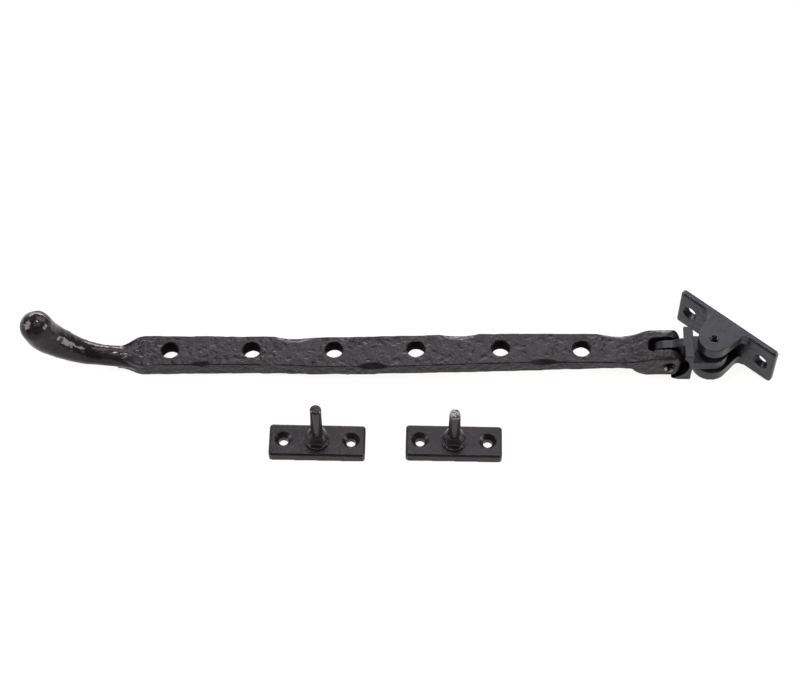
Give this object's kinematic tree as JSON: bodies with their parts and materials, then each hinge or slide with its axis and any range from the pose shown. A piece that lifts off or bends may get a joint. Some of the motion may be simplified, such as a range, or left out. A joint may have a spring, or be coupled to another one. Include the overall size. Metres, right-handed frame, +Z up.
{
  "type": "casement window stay",
  "caption": "Hand-forged black casement window stay: holed flat arm with an upturned bulb handle, a double-hinged sash bracket and two separate screw-down sill pegs, laid out as a set",
  "frame": {"origin": "on the surface the set lies on, under the middle of the set's box", "axes": "+X along the arm from the handle to the bracket, +Y away from the pegs, +Z up, along the pegs"},
  "size_m": [0.3434, 0.0796, 0.0371],
  "materials": {
    "black_iron": "satin black paint or wax over hammered iron",
    "black_steel": "satin black over turned steel",
    "worn_steel": "black worn thin over turned steel"
  },
  "bodies": {
    "arm": {"stay_arm": "black_iron", "arm_rivet": "black_steel"},
    "knuckle": {"knuckle_link": "black_iron"},
    "bracket": {"mounting_bracket": "black_iron", "bracket_rivet": "black_steel"},
    "left_peg": {"peg_plate_left": "black_iron", "peg_left": "black_steel"},
    "right_peg": {"peg_plate_right": "black_iron", "peg_right": "worn_steel"}
  },
  "joints": [
    {"name": "fork_hinge", "type": "hinge", "parent": "arm", "child": "knuckle", "pos_m": [0.12327, 0.01291, 0.01053], "axis": [0, 1, 0], "range_deg": [-80, 27]},
    {"name": "bracket_hinge", "type": "hinge", "parent": "knuckle", "child": "bracket", "pos_m": [0.14327, 0.01291, 0.01143], "axis": [0, 0, 1], "range_deg": [-137, 38]},
    {"name": "left_peg_lift", "type": "slide", "parent": "arm", "child": "left_peg", "axis": [0, 0, 1], "range_m": [0, 0.06]},
    {"name": "right_peg_lift", "type": "slide", "parent": "arm", "child": "right_peg", "axis": [0, 0, 1], "range_m": [0, 0.06]}
  ]
}
